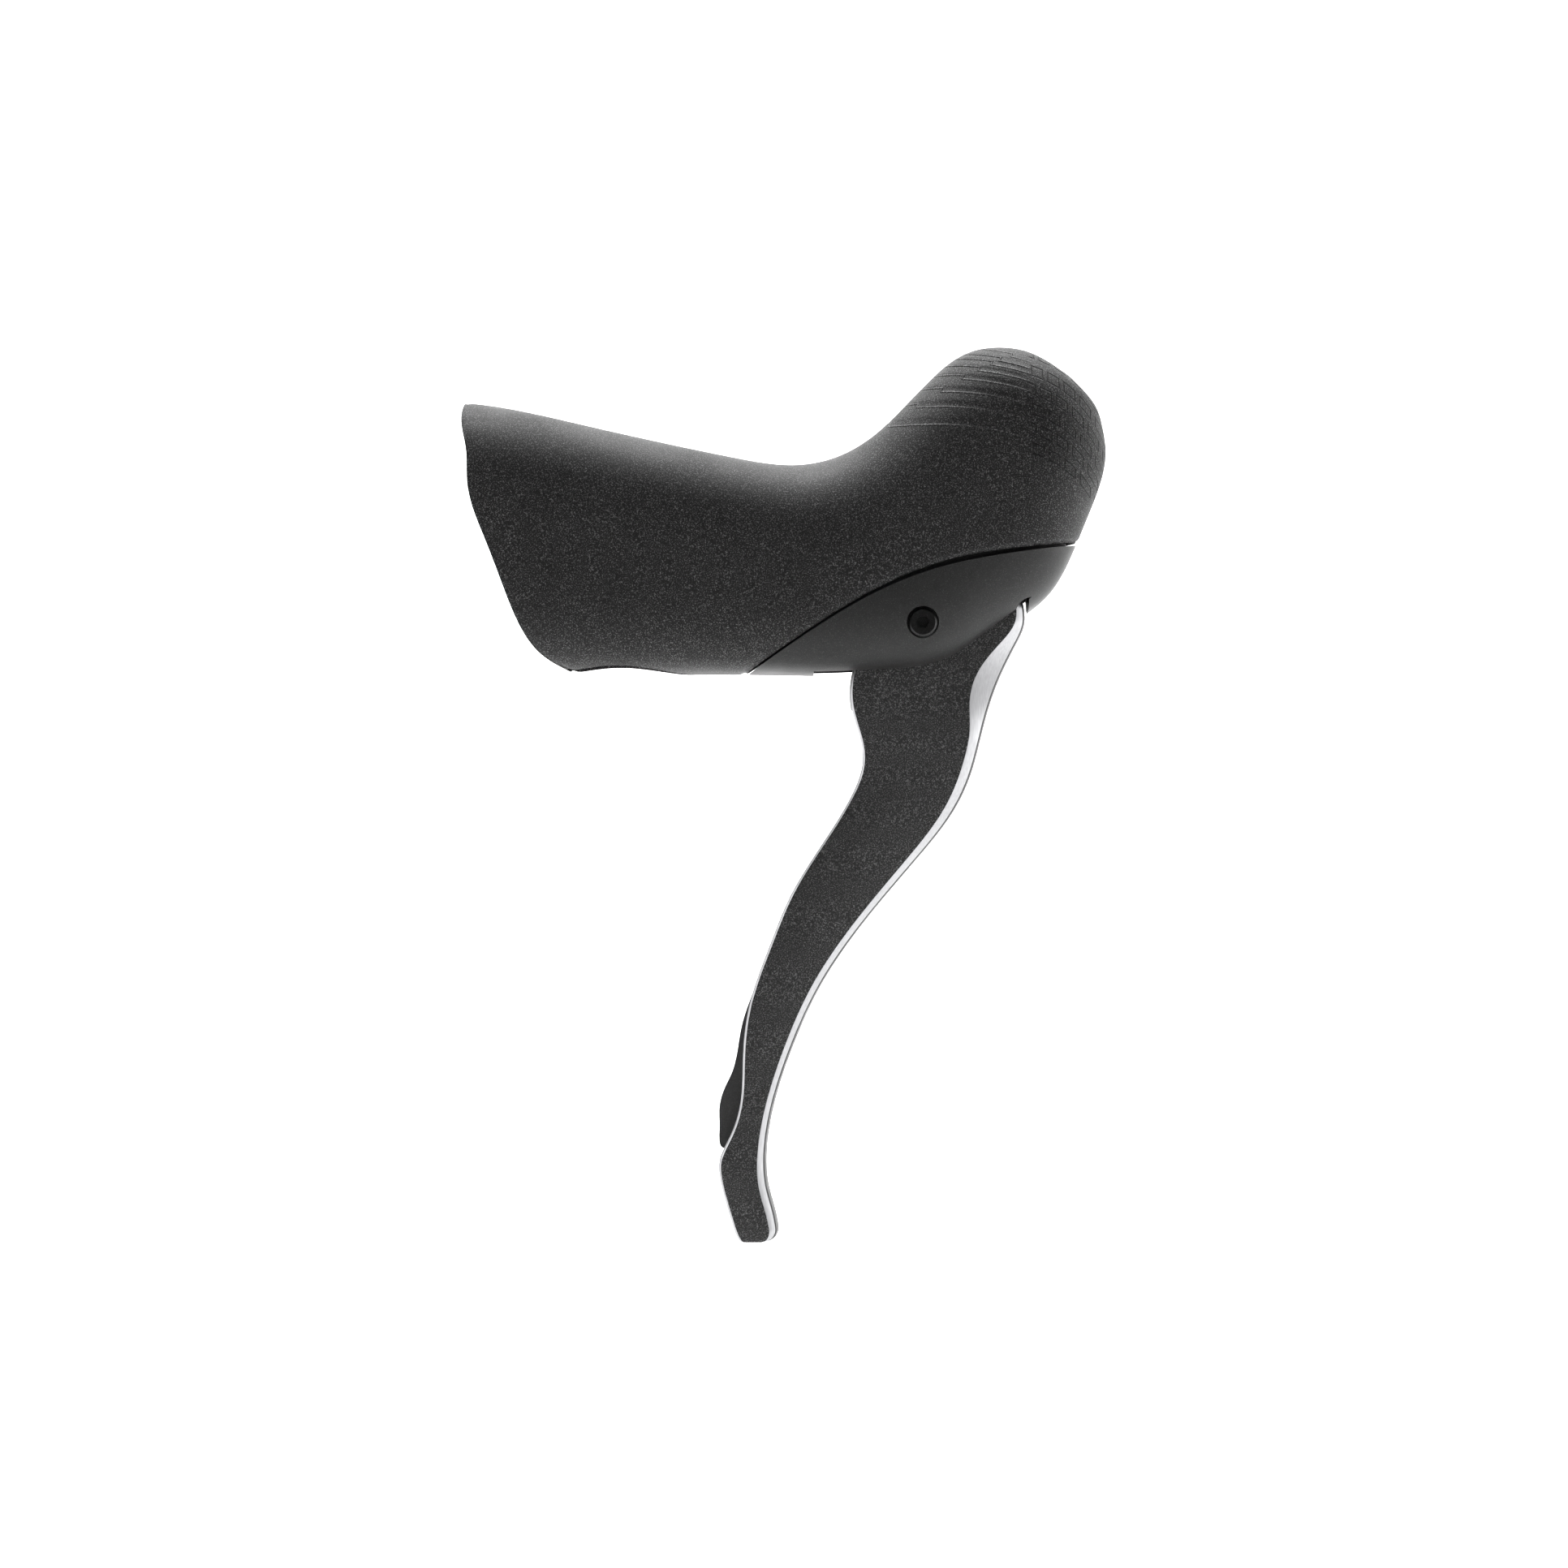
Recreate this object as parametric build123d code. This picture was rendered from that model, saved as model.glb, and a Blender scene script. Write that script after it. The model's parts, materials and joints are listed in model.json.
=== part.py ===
from build123d import *

import os
from math import cos, pi, radians, sin

# Right-hand drop-bar brake shift lever: hood, bracket body, brake blade, two shift paddles and hydraulic core.
# Frame, in millimetres: the origin is the centre of the handlebar clamp, +X forward, +Y inboard, +Z up.

# --- driving dimensions -------------------------------------------------------------------------------------
BAR_R = 11.9  # a 23.8 mm drop bar
BAR_TILT = 20  # the bar leans back this much from vertical where the lever is clamped
SADDLE_LENGTH = 30
BAND_WIDTH = 12
BAND_THICK = 0.7

HOOD_WALL = 1.8
SKIN_GAP = 0.25  # between the rubber hood and the body under it
SEAM_GAP = 0.6
OUTSIDE = 60  # past every surface of the part

PIVOT_X, PIVOT_Z = 60.4, -11.3
SLOT_HALF = 9.0
SLOT_FRONT = 79.1  # just ahead of the blade's shoulder as it turns
HUB_HALF = 8.5
AXLE_R = 3.0
BUSH_R = 3.8
ARCH_X, ARCH_Z, ARCH_R = 79.9, -9.9, 3.2  # the notch in the outboard wall over the blade's shoulder
RUNNING = 0.04  # radial clearance of a running fit

BRAKE_SWING = 22  # degrees of lever travel
ARM_LENGTH = 15.0
BORE_TILT = 30  # the master cylinder rises forward at this angle
BORE_R = 5.0

PADDLE_PIN_Y, PADDLE_PIN_Z = 2.6, -37.5
PADDLE_PIN_R = 1.0

# The grip's outer form: top point, bottom point, half width and the squareness of its upper and lower halves.
GRIP = [
    ((-27.0, 27.9), (-27.0, -20.2), 18.6, 2.7, 4.0),
    ((-13.0, 26.7), (-9.0, -20.2), 18.5, 2.7, 4.0),
    ((1.0, 23.7), (2.0, -20.2), 18.0, 2.7, 4.0),
    ((16.3, 20.3), (16.0, -20.2), 17.3, 2.6, 3.9),
    ((28.0, 17.9), (29.0, -20.2), 16.8, 2.5, 3.8),
    ((38.3, 16.7), (42.0, -20.4), 16.4, 2.4, 3.6),
    ((46.7, 18.6), (54.0, -20.2), 16.3, 2.4, 3.3),
    ((52.2, 22.0), (64.0, -18.9), 16.3, 2.4, 3.1),
    ((57.6, 27.1), (75.0, -12.1), 16.2, 2.4, 2.8),
    ((62.5, 32.1), (83.4, -5.5), 15.9, 2.4, 2.6),
    ((66.6, 35.4), (89.2, 6.2), 15.2, 2.3, 2.4),
    ((70.4, 37.0), (92.2, 14.2), 14.1, 2.2, 2.2),
    ((74.3, 37.4), (92.9, 19.5), 12.4, 2.1, 2.1),
    ((78.3, 36.9), (92.2, 24.0), 10.1, 2.0, 2.0),
    ((81.8, 35.4), (90.7, 27.7), 7.1, 2.0, 2.0),
    ((84.6, 33.6), (88.6, 30.9), 3.2, 2.0, 2.0),
]
GRIP_INNER_STATIONS = 14  # the insides stop here, which leaves the knob's nose a little thicker
SECTION_POINTS = 24

REAR_EDGE = [
    (-19.5, 32.0), (-19.6, 27.2), (-19.9, 25.0), (-18.9, 19.0), (-18.5, 12.5), (-15.5, 3.1),
    (-12.8, -3.9), (-9.9, -11.1), (-6.4, -16.4), (-1.6, -19.5), (4.0, -21.6), (9.0, -24.0),
]
SEAM = [
    (26.4, -22.6), (29.9, -20.1), (39.0, -13.8), (51.1, -6.4), (64.0, -1.3), (75.4, 1.0), (87.9, 2.7), (97.0, 3.7),
]

# The brake blade in side view: height, front edge, back edge, half width and bevel width.
BLADE = [
    (-7.6, 78.3, 53.5, 7.9, 0.7),
    (-11.4, 78.7, 51.8, 8.4, 1.3),
    (-15.0, 77.2, 50.0, 8.5, 2.5),
    (-20.0, 74.5, 48.3, 8.5, 3.7),
    (-26.4, 72.3, 48.1, 8.5, 3.3),
    (-32.0, 70.8, 49.7, 8.4, 2.0),
    (-38.0, 69.0, 49.7, 8.3, 1.6),
    (-44.9, 65.7, 46.4, 8.2, 1.5),
    (-53.4, 59.0, 40.4, 8.0, 1.4),
    (-58.6, 54.6, 37.6, 7.9, 1.3),
    (-68.9, 46.6, 33.3, 7.6, 1.2),
    (-79.1, 40.6, 30.0, 7.3, 1.0),
    (-89.4, 36.4, 28.9, 7.1, 1.0),
    (-96.1, 34.5, 28.5, 7.0, 1.0),
    (-101.4, 33.5, 26.7, 6.9, 1.0),
    (-105.4, 33.3, 25.0, 6.9, 1.0),
    (-108.5, 33.5, 25.1, 6.8, 1.0),
    (-113.0, 34.5, 26.2, 6.7, 1.0),
    (-117.2, 35.4, 27.4, 6.7, 1.0),
]
BLADE_END_Z = -119.6
LIP = 0.7
BACK_CHAMFER = 0.45
WALL = 2.0
FRONT_WALL = 3.6
CHANNEL_TOP_Z, CHANNEL_END_Z = -24.0, -106.0


# --- frames and small helpers -------------------------------------------------------------------------------
BAR_UP = Vector(-sin(radians(BAR_TILT)), 0, cos(radians(BAR_TILT)))
BAR_FRONT = Vector(cos(radians(BAR_TILT)), 0, sin(radians(BAR_TILT)))
BAR = Plane(origin=(0, 0, 0), x_dir=BAR_FRONT, z_dir=BAR_UP)  # local: forward of the bar, inboard, up the bar
BOLT = Plane(origin=(0, 0, 0), x_dir=(0, 1, 0), z_dir=BAR_FRONT)  # local z runs forward from the bar

PIVOT = Vector(PIVOT_X, 0, PIVOT_Z)
BORE_DIR = Vector(cos(radians(BORE_TILT)), 0, sin(radians(BORE_TILT)))
BORE_UP = Vector(-sin(radians(BORE_TILT)), 0, cos(radians(BORE_TILT)))
HALF_SWING = radians(BRAKE_SWING / 2)
BORE_OFFSET = ARM_LENGTH * (1 + cos(HALF_SWING)) / 2  # splits the arc's rise between both ends of the stroke
CYL = Plane(origin=PIVOT + BORE_UP * BORE_OFFSET, x_dir=(0, 1, 0), z_dir=BORE_DIR)  # local: inboard, up, along
ROLLER_R = 2.5
CONTACT_GAP = 0.3  # the roller stops this short of the push rod, over the whole stroke
PUSH_ROD_START = ROLLER_R - ARM_LENGTH * sin(HALF_SWING) + CONTACT_GAP
ROLLER = PIVOT + BORE_UP * (ARM_LENGTH * cos(HALF_SWING)) - BORE_DIR * (ARM_LENGTH * sin(HALF_SWING))


def side(face, y0, y1):
    """Extrudes a face drawn in (x, z) from y0 to y1."""
    return extrude(Plane.XZ.offset(-y1) * face, amount=y1 - y0)


def outline(points):
    return make_face(Polyline(*points, close=True))


def rod(frame, radius, start, end, x=0, y=0):
    """A cylinder along a frame's z, from start to end."""
    return frame * Pos(x, y, (start + end) / 2) * Cylinder(radius, end - start)


def block(frame, x0, x1, y0, y1, z0, z1):
    centre = Pos((x0 + x1) / 2, (y0 + y1) / 2, (z0 + z1) / 2)
    return frame * centre * Box(x1 - x0, y1 - y0, z1 - z0)


def across(x, z):
    """A frame at (x, z) in side view whose z axis points inboard."""
    return Plane(origin=(x, 0, z), x_dir=(1, 0, 0), z_dir=(0, 1, 0))


def hex_bar(frame, flats, start, end, x=0, y=0):
    face = frame * Pos(x, y, start) * RegularPolygon(flats / 2, 6, major_radius=False)
    return extrude(face, amount=end - start)


def coil(frame, radius, wire, start, pitch, turns):
    """A wire helix along a frame's z axis."""
    path = Helix(pitch=pitch, height=pitch * turns, radius=radius)
    section = Plane(origin=path @ 0, z_dir=path % 0) * Circle(wire / 2)
    return frame * Pos(0, 0, start) * sweep(section, path=path, is_frenet=True)


def power(value, squareness):
    return (1 if value >= 0 else -1) * abs(value) ** (2 / squareness)


def grip_section(station, inset):
    top, bottom, half, square_top, square_bottom = station
    top, bottom = Vector(top[0], 0, top[1]), Vector(bottom[0], 0, bottom[1])
    rise = (top - bottom).normalized()
    middle, reach = (top + bottom) / 2, (top - bottom).length / 2 - inset
    points = []
    for k in range(SECTION_POINTS):
        angle = 2 * pi * k / SECTION_POINTS - pi / 2
        square = square_top if sin(angle) > 0 else square_bottom
        points.append(
            middle
            + rise * (reach * power(sin(angle), square))
            + Vector(0, (half - inset) * power(cos(angle), square), 0)
        )
    return Wire([Edge.make_spline(points, periodic=True)])


def grip_form(inset):
    stations = GRIP if inset == 0 else GRIP[:GRIP_INNER_STATIONS]
    return Solid.make_loft([grip_section(s, inset) for s in stations])


def rear_cut(shift):
    """Everything behind the hood's rear edge, moved forward by shift."""
    edge = Spline(*[(x + shift, z) for x, z in REAR_EDGE])
    first, last = edge @ 0, edge @ 1
    rest = Polyline(last, (-OUTSIDE, last.Y), (-OUTSIDE, first.Y), first)
    return side(make_face(edge + rest), -OUTSIDE, OUTSIDE)


def under_seam(shift):
    """Everything below the line where hood and body meet, moved up by shift."""
    edge = Spline(*[(x, z + shift) for x, z in SEAM])
    first, last = edge @ 0, edge @ 1
    rest = Polyline(last, (last.X, -OUTSIDE), (first.X, -OUTSIDE), first)
    return side(make_face(edge + rest), -OUTSIDE, OUTSIDE)


# --- hood and bracket body ----------------------------------------------------------------------------------
BAR_RELIEF = 12.4
PORT_DIR = Vector(-0.972, 0, 0.235)
PORT_START = Vector(26.8, 7.4, 10.6)  # the hose nut's inner end
PORT = Plane(origin=PORT_START, x_dir=(0, 1, 0), z_dir=PORT_DIR)
NUT_LENGTH = 8.5
PORT_R = 3.65  # the nut's pocket, which runs on as the hose's channel
HOSE_R = 2.6
INSERT_R = 3.0
CELL_X, CELL_Z = 30.0, -3.3
MODE_X, MODE_Z = 47.5, -14.2
LED_X, LED_Z = 52.3, -15.0


def hood_cover():
    hood = grip_form(0) - grip_form(HOOD_WALL)
    hood -= rear_cut(0)
    hood -= under_seam(SEAM_GAP / 2)
    hood -= rod(BAR, BAR_RELIEF, -OUTSIDE, -4)
    return hood


def lever_slot():
    """The space in which the hub, its cam arm and the blade's root swing, and the arch over the blade's shoulder."""
    swing = outline([
        (41.5, -30), (41.5, -13), (44.0, -6.5), (44.0, 3.2), (48.5, 5.4), (56.6, 8.2), (62.0, -2.6), (74.5, -2.6),
        (SLOT_FRONT, -5.6), (SLOT_FRONT, -30),
    ])
    arch = rod(across(ARCH_X, ARCH_Z), ARCH_R, -OUTSIDE, 0.01 - SLOT_HALF)
    return side(swing, -SLOT_HALF, SLOT_HALF) + arch


def cylinder_pocket():
    round_floor = rod(CYL, CYL_R + 0.02, 4.0, 37.0)
    well = block(CYL, -CYL_R - 0.02, CYL_R + 0.02, 0, OUTSIDE, 4.0, 37.0)
    return round_floor + well


def clamp_pocket():
    legs = block(BAR, -2, 19.6, BAR_R, BAR_R + 1.1, -BAND_WIDTH / 2 - 0.4, BAND_WIDTH / 2 + 0.4)
    yoke = block(BAR, 13.4, 19.6, -BAR_R - 1.1, BAR_R + 1.1, -4.5, 4.5)
    shank = rod(BOLT, 2.7, 19, 30)
    head = rod(BOLT, 4.0, 27.6, OUTSIDE)
    return legs + mirror(legs, Plane.XZ) + yoke + shank + head


def electronics_pocket():
    cell = rod(across(CELL_X, CELL_Z), 10.15, 2.5, OUTSIDE)
    rim = rod(across(CELL_X, CELL_Z), 11.4, 12.0, OUTSIDE)
    return cell + rim


def pivot_holes():
    at = across(PIVOT_X, PIVOT_Z)
    bore = rod(at, AXLE_R + 0.03, -12.95, OUTSIDE)
    flange = rod(at, 4.1, 12.0, OUTSIDE)
    web = rod(at, 1.6, -14, 0)
    recess = rod(at, 2.8, -OUTSIDE, -13.9)
    return bore + flange + web + recess


def port_holes():
    return rod(PORT, PORT_R, 0, OUTSIDE) + rod(PORT, INSERT_R, -3.1, 0.1)


def bracket_body():
    core = grip_form(HOOD_WALL + SKIN_GAP) - rear_cut(1.2)
    panel = grip_form(0) & under_seam(-SEAM_GAP / 2)
    body = core + panel
    body -= block(BAR, -OUTSIDE, 1.0, -OUTSIDE, OUTSIDE, -OUTSIDE, OUTSIDE)
    body -= rod(BAR, BAR_R, -OUTSIDE, OUTSIDE)
    body -= rod(BAR, BAR_R + 0.7, SADDLE_LENGTH / 2, OUTSIDE)
    body -= rod(BAR, BAR_R + 0.7, -OUTSIDE, -SADDLE_LENGTH / 2)
    body -= lever_slot()
    body -= cylinder_pocket()
    body -= clamp_pocket()
    body -= electronics_pocket()
    body -= pivot_holes()
    body -= port_holes()
    body -= rod(across(MODE_X, MODE_Z), 2.3, 10.2, OUTSIDE)
    body -= rod(across(LED_X, LED_Z), 0.85, 11.5, OUTSIDE)
    return body


def clamp_band():
    """A strap round the back of the bar, with straight legs that reach into the body."""
    arc = rod(BAR, BAR_R + BAND_THICK, -BAND_WIDTH / 2, BAND_WIDTH / 2)
    arc -= rod(BAR, BAR_R, -BAND_WIDTH, BAND_WIDTH)
    arc -= block(BAR, 0, OUTSIDE, -OUTSIDE, OUTSIDE, -BAND_WIDTH, BAND_WIDTH)
    leg = block(BAR, -0.01, 17.5, BAR_R + 0.02, BAR_R + BAND_THICK, -BAND_WIDTH / 2, BAND_WIDTH / 2)
    return arc + leg + mirror(leg, Plane.XZ)


def clamp_yoke():
    yoke = block(BAR, 14.0, 18.4, -BAR_R - 0.02, BAR_R + 0.02, -4.1, 4.1)
    return yoke - rod(BOLT, 2.55, 0, OUTSIDE)


def clamp_bolt():
    bolt = rod(BOLT, 2.5, 14.2, 28.2) + rod(BOLT, 3.7, 28.2, 32.4)
    return bolt - hex_bar(BOLT, 4.0, 29.8, 33.0)


def clamp_washer():
    return rod(BOLT, 3.8, 27.62, 28.18) - rod(BOLT, 2.55, 27, 29)


def hose_insert():
    return rod(PORT, INSERT_R - 0.02, -3.08, -0.02) - rod(PORT, 1.2, -5, 1)


def hose_nut():
    nut = hex_bar(PORT, 6.2, 1.2, NUT_LENGTH) + rod(PORT, 3.4, 0.0, 1.2)
    return nut - rod(PORT, HOSE_R, -1, NUT_LENGTH + 1)


# --- electronics --------------------------------------------------------------------------------------------
def control_board():
    return rod(across(CELL_X, CELL_Z), 9.8, 3.6, 4.6)


def board_components():
    at = across(CELL_X, CELL_Z)
    chips = block(at, -6.5, -1.5, -3.5, 2.5, 4.62, 5.7)
    for x, y in ((1.0, -4.0), (1.0, 0.0), (4.5, -2.0), (4.5, 3.0), (-3.0, 5.0)):
        chips += block(at, x, x + 2.2, y, y + 1.6, 4.62, 5.4)
    return chips


def battery_clip():
    at = across(CELL_X, CELL_Z)
    return rod(at, 9.2, 6.3, 6.7) + block(at, 7.4, 9.0, -1.5, 1.5, 4.65, 6.4) - rod(at, 5.5, 6, 7)


def coin_cell():
    at = across(CELL_X, CELL_Z)
    return rod(at, 10.0, 7.6, 10.0) + rod(at, 8.9, 6.8, 7.6)


def door_seal():
    at = across(CELL_X, CELL_Z)
    return rod(at, 11.3, 12.02, 12.5) - rod(at, 10.5, 11, 13)


def door_screw_spots():
    return [(8.7 * cos(radians(a)), 8.7 * sin(radians(a))) for a in (90, 210, 330)]


def battery_door():
    at = across(CELL_X, CELL_Z)
    door = rod(at, 11.3, 12.52, 17) & grip_form(HOOD_WALL + SKIN_GAP)
    lip = rod(at, 10.1, 10.9, 12.52) - rod(at, 7.6, 10, 12.5)
    door += lip
    for x, y in door_screw_spots():
        door -= rod(at, 1.35, 10, 20, x, y)
    return door


def door_screws():
    at = across(CELL_X, CELL_Z)
    screws = []
    for x, y in door_screw_spots():
        screw = rod(at, 1.3, 10.3, 13.4, x, y)
        screw -= block(at * Pos(x, y, 0), -0.9, 0.9, -0.2, 0.2, 12.9, 14)
        screws.append(screw)
    return Compound(screws)


def mode_switch():
    return rod(across(MODE_X, MODE_Z), 2.2, 10.25, 12.2)


def mode_button():
    at = across(MODE_X, MODE_Z)
    return rod(at, 1.5, 13.1, 14.2) + rod(at, 2.15, 14.2, 15.6)


def status_led():
    return rod(across(LED_X, LED_Z), 0.8, 11.6, 14.9)


# --- pivot --------------------------------------------------------------------------------------------------
def pivot_axle():
    at = across(PIVOT_X, PIVOT_Z)
    axle = rod(at, AXLE_R, -12.9, 13.2) + rod(at, 4.0, 12.05, 13.4)
    axle -= rod(at, 1.52, -14, -5.0)
    return axle


def pivot_screw():
    at = across(PIVOT_X, PIVOT_Z)
    head = chamfer(rod(at, 2.45, -15.2, -13.9).edges().group_by(Axis.Y)[0], 0.3)
    screw = rod(at, 1.5, -13.9, -5.5) + head
    return screw - hex_bar(at, 2.0, -16, -14.2)


def pivot_bushes():
    at = across(PIVOT_X, PIVOT_Z)
    sleeve = rod(at, BUSH_R, 3.9, 8.52) + rod(at, 5.4, 8.52, 8.92)
    sleeve -= rod(at, AXLE_R + RUNNING, 0, 12)
    return Compound([sleeve, mirror(sleeve, Plane.XZ)])


def return_spring():
    """A torsion spring wound round the axle between the two bushes."""
    return coil(across(PIVOT_X, PIVOT_Z), 4.4, 0.9, -2.2, 1.1, 4)


# --- hydraulic core -----------------------------------------------------------------------------------------
CYL_R = 7.9
TANK_HALF = 7.6
TANK_TOP = 12.5
TANK_START, TANK_END = 10.5, 33.5
CAP_UNDER, CAP_TOP = 13.05, 14.4
BLEED_ALONG = 22.0


def master_cylinder():
    body = rod(CYL, CYL_R, 6.0, 36.4)
    body += block(CYL, -TANK_HALF, TANK_HALF, 0, TANK_TOP, TANK_START, TANK_END)
    body -= block(CYL, -5.5, 5.5, 7.2, 20, TANK_START + 2, TANK_END - 2)
    body -= rod(CYL, BORE_R, 4, 34.0)
    for along, hole in ((24.0, 0.4), (21.5, 0.7)):
        body -= rod_up(hole, 2, 9, 0, along)
    for x, z in cap_screw_spots():
        body -= rod_up(0.92, TANK_TOP - 5.5, TANK_TOP + 1, x, z)
    return body


def cap_screw_spots():
    return [(x, z) for x in (-6.35, 6.35) for z in (TANK_START + 1.2, TANK_END - 1.2)]


def lid_frame():
    return Plane(origin=CYL.origin, x_dir=(0, 1, 0), z_dir=BORE_UP)


def reservoir_bladder():
    start, end = TANK_START + 2.2, TANK_END - 2.2
    well = block(CYL, -4.6, 4.6, 9.6, 20, start + 0.8, end - 0.8)
    skirt = block(CYL, -5.3, 5.3, 8.8, TANK_TOP + 0.05, start, end)
    flange = block(CYL, -5.6, 5.6, TANK_TOP + 0.05, TANK_TOP + 0.5, start - 0.4, end + 0.4)
    return skirt + flange - well


def reservoir_cap():
    cap = block(CYL, -TANK_HALF, TANK_HALF, CAP_UNDER, CAP_TOP, TANK_START, TANK_END)
    cap = fillet(cap.edges().filter_by(lambda e: abs(e.length - (CAP_TOP - CAP_UNDER)) < 1e-3), 1.2)
    for x, z in cap_screw_spots():
        cap -= rod_up(0.95, CAP_UNDER - 1, CAP_TOP + 1, x, z)
    return cap - rod_up(2.55, CAP_UNDER - 1, CAP_TOP + 1, 0, BLEED_ALONG)


def rod_up(radius, low, high, x, along):
    """A cylinder square to the bore, at a place along it."""
    return lid_frame() * Pos(x, -along, (low + high) / 2) * Cylinder(radius, high - low)


def cap_screws():
    screws = []
    for x, z in cap_screw_spots():
        shank = rod_up(0.9, TANK_TOP - 5, CAP_TOP + 0.1, x, z)
        screws.append(shank + rod_up(1.2, CAP_TOP, CAP_TOP + 0.55, x, z))
    return Compound(screws)


def bleed_screw():
    screw = rod_up(2.5, CAP_UNDER - 2, CAP_TOP + 0.45, 0, BLEED_ALONG)
    screw += rod_up(3.3, CAP_TOP + 0.45, CAP_TOP + 1.3, 0, BLEED_ALONG)
    return screw - hex_bar(lid_frame(), 2.5, CAP_TOP - 0.4, CAP_TOP + 2, 0, -BLEED_ALONG)


def bleed_seal():
    ring = rod_up(3.3, CAP_TOP + 0.02, CAP_TOP + 0.43, 0, BLEED_ALONG)
    return ring - rod_up(2.52, CAP_TOP - 1, CAP_TOP + 1, 0, BLEED_ALONG)


def master_piston():
    piston = rod(CYL, BORE_R - 0.05, 7.0, 21.0)
    piston -= rod(CYL, BORE_R + 1, 10.6, 12.0) - rod(CYL, 3.6, 10, 12.5)
    piston -= rod(CYL, BORE_R + 1, 17.6, 19.0) - rod(CYL, 3.6, 17, 19.5)
    piston -= rod(CYL, 2.0, 6, 10.0)
    return piston


def piston_seals():
    rings = [rod(CYL, BORE_R - 0.02, a, a + 1.3) - rod(CYL, 3.65, 0, 30) for a in (10.65, 17.65)]
    return Compound(rings)


def push_rod():
    return rod(CYL, 1.8, PUSH_ROD_START, 9.95) + rod(CYL, 3.2, 5.6, 6.95)


def piston_spring():
    return coil(CYL, 4.0, 0.84, 21.5, 12 / 5.5, 5.5)


# --- brake lever --------------------------------------------------------------------------------------------
REACH_X = 70.0


def lip_at(z):
    return LIP if z < -14 else LIP + 0.25


def blade_section(row):
    z, front, back, half, bevel = row
    edge = half - min(bevel, 2.2)
    bevel_front = front - lip_at(z)
    right = [
        (front, 0),
        (front - 0.28, -edge * 0.6),
        (bevel_front, -edge),
        (bevel_front - bevel, -half),
        (back + BACK_CHAMFER, -half),
        (back, -half + BACK_CHAMFER),
    ]
    left = [(x, -y) for x, y in reversed(right[1:])]
    return Wire.make_polygon([Vector(x, y, z) for x, y in right + left], close=True)


def blade_end():
    """The rounded foot of the blade."""
    z, front, back, half, bevel = BLADE[-1]
    rows = [
        BLADE[-1],
        (z - 1.4, front - 0.6, back + 0.5, half, bevel),
        (BLADE_END_Z, front - 2.6, back + 1.1, half - 0.4, bevel),
    ]
    return Solid.make_loft([blade_section(r) for r in rows], ruled=True)


def channel_cut(near, low, high):
    """A loft behind the front wall: near gives its front face from a row, low and high its span across."""
    sections = []
    for row in BLADE:
        z, front, back, half, bevel = row
        if CHANNEL_END_Z <= z <= CHANNEL_TOP_Z:
            sections.append(Wire.make_polygon([
                Vector(near(row), low(half), z), Vector(near(row), high(half), z),
                Vector(back - 9, high(half), z), Vector(back - 9, low(half), z),
            ], close=True))
    return Solid.make_loft(sections)


def channel_floor(row):
    z, front, back, half, bevel = row
    return max(front - max(FRONT_WALL, bevel + 2.2), back + 1.0)


def channel_mouth(row):
    """Where the low inboard wall ends, so that the paddles can swing out past it."""
    return max(channel_floor(row) - 1.2, row[2] + 0.6)


def hub():
    at = across(PIVOT_X, PIVOT_Z)
    boss = rod(at, 7.2, -HUB_HALF, HUB_HALF)
    tip = across(ROLLER.X, ROLLER.Z)
    reach = (ROLLER - PIVOT).normalized()
    span = Vector(reach.Z, 0, -reach.X)
    corners = [PIVOT - span * 5, PIVOT + span * 5, ROLLER + span * 2.2, ROLLER - span * 2.2]
    arm = side(outline([(c.X, c.Z) for c in corners]), -4.4, 4.4) + rod(tip, 2.2, -4.4, 4.4)
    return boss + arm


def brake_lever():
    lever = Solid.make_loft([blade_section(r) for r in BLADE]) + blade_end()
    lever += hub()
    lever -= channel_cut(channel_floor, lambda half: WALL - half, lambda half: half - WALL)
    lever -= channel_cut(channel_mouth, lambda half: 0, lambda half: half + 3)
    at = across(PIVOT_X, PIVOT_Z)
    tip = across(ROLLER.X, ROLLER.Z)
    lever -= rod(at, BUSH_R + 0.01, -20, 20)
    lever -= rod(at, 5.5, -2.9, 2.9)
    lever -= rod(tip, 3.7, -2.7, 2.7)
    lever -= rod(tip, 1.02, -10, 10)
    lever -= Pos(REACH_X, 0, -8.8) * Cylinder(2.01, 14)
    lever += block(Plane.XY, 50.2, 52.2, -6.6, 4.6, -40.4, -34.6)
    lever -= rod(paddle_frame(), PADDLE_PIN_R + 0.01, 49, 67.0)
    return lever


def paddle_frame():
    """Local z runs forward along the paddles' pin."""
    return Plane(origin=(0, PADDLE_PIN_Y, PADDLE_PIN_Z), x_dir=(0, 1, 0), z_dir=(1, 0, 0))


def reach_adjust_screw():
    screw = Pos(REACH_X, 0, -9.35) * Cylinder(2.0, 12.5)
    return screw - hex_bar(Plane.XY, 2.0, -5.3, -3.0, REACH_X, 0)


def cam_roller():
    tip = across(ROLLER.X, ROLLER.Z)
    return rod(tip, ROLLER_R, -2.5, 2.5) - rod(tip, 1.04, -3, 3)


def roller_pin():
    return rod(across(ROLLER.X, ROLLER.Z), 1.0, -4.4, 4.4)


# --- shift paddles ------------------------------------------------------------------------------------------
def paddle_boss(start, end):
    return rod(paddle_frame(), 2.2, start, end)


def paddle_lug(start, end):
    """The short lever above the pin that presses on a switch."""
    return block(Plane.XY, start, end, 0.35, 3.0, PADDLE_PIN_Z, -31.6)


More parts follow.
